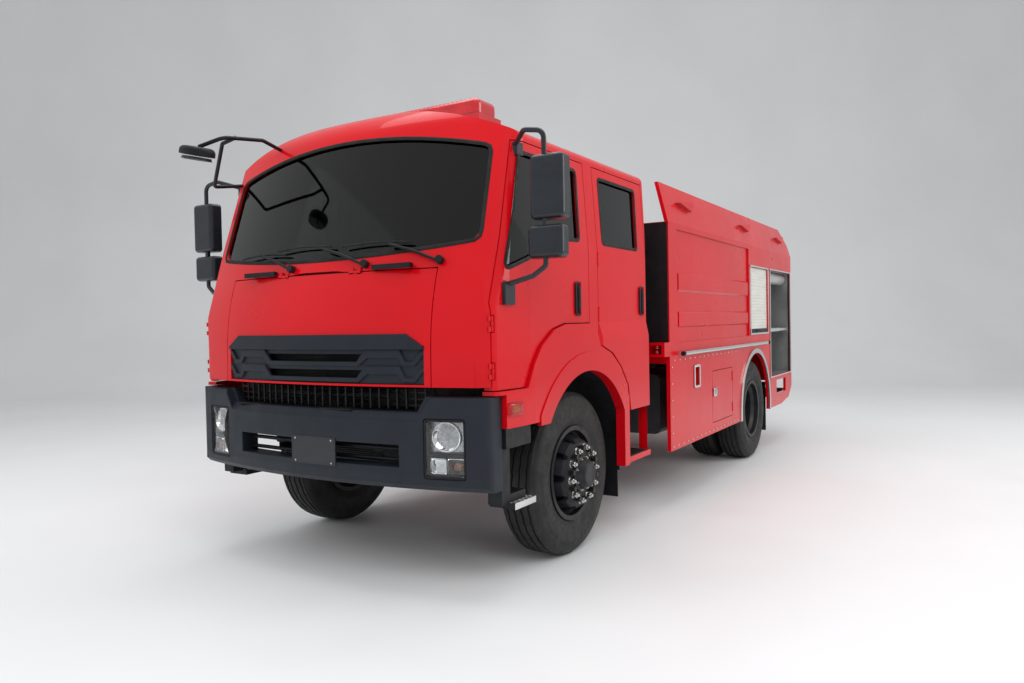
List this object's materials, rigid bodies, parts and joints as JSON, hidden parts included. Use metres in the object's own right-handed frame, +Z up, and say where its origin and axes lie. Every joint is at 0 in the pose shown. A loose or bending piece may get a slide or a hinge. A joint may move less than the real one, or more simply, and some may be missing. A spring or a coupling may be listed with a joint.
{
  "type": "airport fire truck",
  "caption": "Airport fire truck with a crew cab and a locker body, opening doors, a nose flap, steered front wheels and free-turning rear wheels.",
  "frame": {"origin": "on the ground under the middle of the truck's box", "axes": "+Y towards the rear, -Y to the front, +X to the vehicle's left, +Z up"},
  "size_m": [2.98, 7.26, 2.94],
  "materials": {
    "paint_red": "gloss",
    "bumper_grey": "satin",
    "black_plastic": "matte",
    "lamp_glass": "clear",
    "tail_lamp": "gloss",
    "warning_lens": "clear",
    "window_glass": "tinted",
    "tyre_rubber": "matte",
    "flap_rubber": "matte",
    "wheel_paint": "gloss",
    "chassis_paint": "satin",
    "engine_iron": "rough",
    "bright_trim": "polished",
    "shutter_aluminium": "satin",
    "valve_metal": "satin",
    "tank_plastic": "satin",
    "seat_cloth": "woven"
  },
  "bodies": {
    "truck": {"cab_shell": "paint_red", "front_fenders": "paint_red", "body_shell": "paint_red", "top_wings": "paint_red", "skirts": "paint_red", "front_bumper": "bumper_grey", "cab_steps": "bumper_grey", "body_lock": "bumper_grey", "front_liners": "black_plastic", "gap_panel": "black_plastic", "dashboard": "black_plastic", "wipers": "black_plastic", "grab_handles": "black_plastic", "look_down_mirror": "black_plastic", "headlamps": "lamp_glass", "rear_lamps": "tail_lamp", "light_bar": "warning_lens", "windscreen": "window_glass", "mudflaps": "flap_rubber", "chassis_frame": "chassis_paint", "front_axle_beam": "chassis_paint", "rear_axle": "chassis_paint", "propeller_shaft": "chassis_paint", "leaf_springs": "chassis_paint", "rear_bumper": "chassis_paint", "fuel_tank": "chassis_paint", "engine": "engine_iron", "polished_trim": "bright_trim", "shutters": "shutter_aluminium", "locker_shelf": "shutter_aluminium", "delivery_valve": "valve_metal", "water_tank": "tank_plastic", "seats": "seat_cloth"},
    "front_door_left_body": {"front_door_left": "paint_red", "front_door_glass_left": "window_glass", "door_mirror_left": "black_plastic"},
    "front_door_right_body": {"front_door_right": "paint_red", "front_door_glass_right": "window_glass", "door_mirror_right": "black_plastic"},
    "rear_door_left_body": {"rear_door_left": "paint_red", "rear_door_glass_left": "window_glass"},
    "rear_door_right_body": {"rear_door_right": "paint_red", "rear_door_glass_right": "window_glass"},
    "flap": {"front_flap": "paint_red", "grille": "bumper_grey"},
    "skirt_door_left_body": {"skirt_door_left": "paint_red"},
    "skirt_door_right_body": {"skirt_door_right": "paint_red"},
    "knuckle_left_body": {"knuckle_left": "chassis_paint"},
    "knuckle_right_body": {"knuckle_right": "chassis_paint"},
    "track_rod": {"tie_rod": "chassis_paint"},
    "front_wheel_left_body": {"front_wheel_left": "wheel_paint", "front_tyre_left": "tyre_rubber"},
    "front_wheel_right_body": {"front_wheel_right": "wheel_paint", "front_tyre_right": "tyre_rubber"},
    "rear_wheels_left_body": {"rear_wheels_left": "wheel_paint", "rear_tyres_left": "tyre_rubber"},
    "rear_wheels_right_body": {"rear_wheels_right": "wheel_paint", "rear_tyres_right": "tyre_rubber"}
  },
  "joints": [
    {"name": "front_door_left_hinge", "type": "hinge", "parent": "truck", "child": "front_door_left_body", "pos_m": [1.13931, -3.166, 1.365], "axis": [0, 0, -1], "range_deg": [0, 70]},
    {"name": "front_door_right_hinge", "type": "hinge", "parent": "truck", "child": "front_door_right_body", "pos_m": [-1.13931, -3.166, 1.365], "axis": [0, 0, 1], "range_deg": [0, 70]},
    {"name": "rear_door_left_hinge", "type": "hinge", "parent": "truck", "child": "rear_door_left_body", "pos_m": [1.177, -1.936, 1.72], "axis": [0, 0, -1], "range_deg": [0, 70]},
    {"name": "rear_door_right_hinge", "type": "hinge", "parent": "truck", "child": "rear_door_right_body", "pos_m": [-1.177, -1.936, 1.72], "axis": [0, 0, 1], "range_deg": [0, 70]},
    {"name": "flap_hinge", "type": "hinge", "parent": "truck", "child": "flap", "pos_m": [0, -3.27253, 1.799], "axis": [-1, 0, 0], "range_deg": [0, 70]},
    {"name": "skirt_door_left_hinge", "type": "hinge", "parent": "truck", "child": "skirt_door_left_body", "pos_m": [1.244, 0.936, 0.79], "axis": [0, 0, 1], "range_deg": [0, 100]},
    {"name": "skirt_door_right_hinge", "type": "hinge", "parent": "truck", "child": "skirt_door_right_body", "pos_m": [-1.244, 0.936, 0.79], "axis": [0, 0, -1], "range_deg": [0, 100]},
    {"name": "steering_left", "type": "hinge", "parent": "truck", "child": "knuckle_left_body", "pos_m": [0.85, -2.14, 0.522], "axis": [0, 0, 1], "range_deg": [-38, 38]},
    {"name": "steering_right", "type": "hinge", "parent": "truck", "child": "knuckle_right_body", "pos_m": [-0.85, -2.14, 0.522], "axis": [0, 0, 1], "range_deg": [-38, 38]},
    {"name": "track_rod_joint", "type": "hinge", "parent": "knuckle_left_body", "child": "track_rod", "pos_m": [0.85, -1.99, 0.404], "axis": [0, 0, 1], "range_deg": [-38, 38]},
    {"name": "front_wheel_left_spin", "type": "hinge", "parent": "knuckle_left_body", "child": "front_wheel_left_body", "pos_m": [0.955, -2.14, 0.522], "axis": [1, 0, 0], "continuous": true},
    {"name": "front_wheel_right_spin", "type": "hinge", "parent": "knuckle_right_body", "child": "front_wheel_right_body", "pos_m": [-0.955, -2.14, 0.522], "axis": [1, 0, 0], "continuous": true},
    {"name": "rear_wheels_left_spin", "type": "hinge", "parent": "truck", "child": "rear_wheels_left_body", "pos_m": [0.9175, 1.84, 0.522], "axis": [1, 0, 0], "continuous": true},
    {"name": "rear_wheels_right_spin", "type": "hinge", "parent": "truck", "child": "rear_wheels_right_body", "pos_m": [-0.9175, 1.84, 0.522], "axis": [1, 0, 0], "continuous": true}
  ],
  "couplings": [
    {"joint": "steering_right", "follows": "steering_left", "ratio": 1},
    {"joint": "track_rod_joint", "follows": "steering_left", "ratio": -1}
  ]
}
